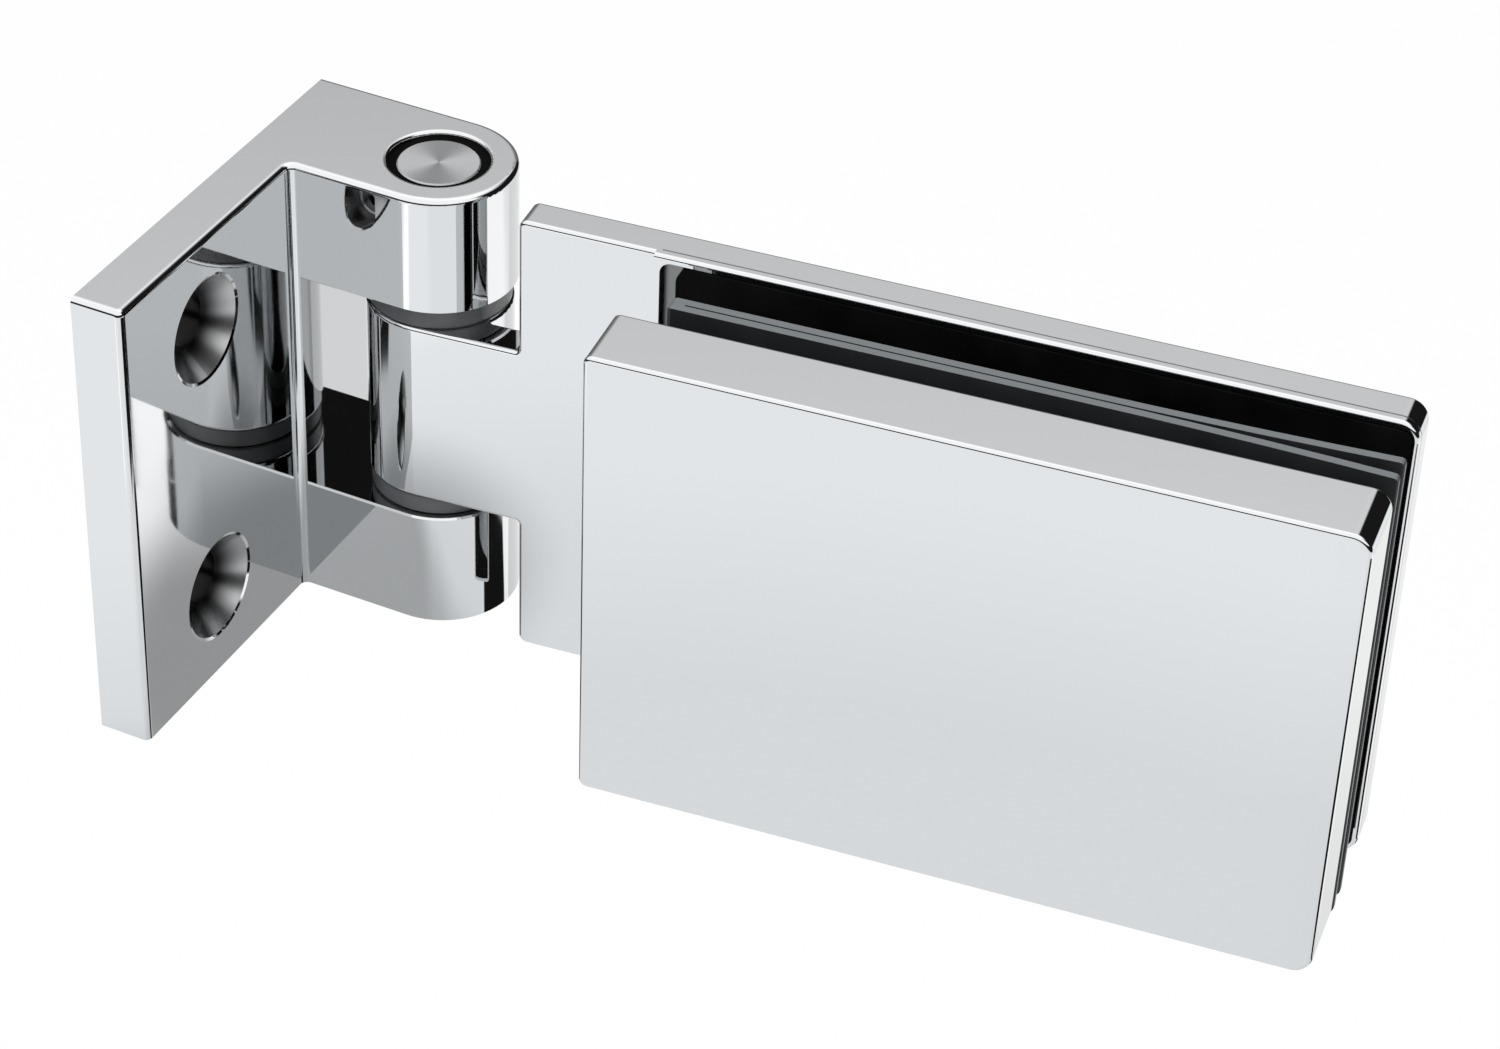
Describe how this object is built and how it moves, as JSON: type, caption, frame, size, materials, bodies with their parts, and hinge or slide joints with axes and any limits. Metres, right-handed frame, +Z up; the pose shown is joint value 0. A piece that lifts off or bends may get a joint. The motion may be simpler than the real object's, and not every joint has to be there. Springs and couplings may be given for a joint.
{
  "type": "glass door hinge",
  "caption": "Wall-to-glass shower door hinge: forked wall bracket, fixed pin and a leaf that clamps the glass edge between padded plates.",
  "frame": {"origin": "middle of the two wall screw holes, on the face that lies against the wall", "axes": "+X away from the wall, +Y towards the back of the hinge as the picture shows it, +Z up along the pin"},
  "size_m": [0.1286, 0.0493, 0.0557],
  "materials": {
    "polished_chrome": "polished",
    "turned_steel": "satin",
    "dark_steel": "satin",
    "black_plastic": "matte",
    "grey_plastic": "satin",
    "black_rubber": "matte",
    "gasket_plastic": "satin"
  },
  "bodies": {
    "wall_side": {"wall_bracket": "polished_chrome", "hinge_pin": "turned_steel", "upper_pin_sleeve": "black_plastic", "lower_pin_sleeve": "black_plastic", "pin_lock_screw": "dark_steel"},
    "glass_side": {"leaf_plate": "polished_chrome", "upper_bush": "grey_plastic", "lower_bush": "grey_plastic", "upper_washer": "grey_plastic", "lower_washer": "grey_plastic", "rear_pad": "black_rubber", "front_pad": "black_rubber", "glass_gasket": "gasket_plastic", "clamp_plate": "polished_chrome", "inner_clamp_screw": "turned_steel", "outer_clamp_screw": "turned_steel", "inner_glass_sleeve": "black_plastic", "outer_glass_sleeve": "black_plastic"}
  },
  "joints": [
    {"name": "leaf_swing", "type": "hinge", "parent": "wall_side", "child": "glass_side", "pos_m": [0.01905, 0.0256, 0], "axis": [0, 0, 1], "range_deg": [-61, 84]}
  ]
}
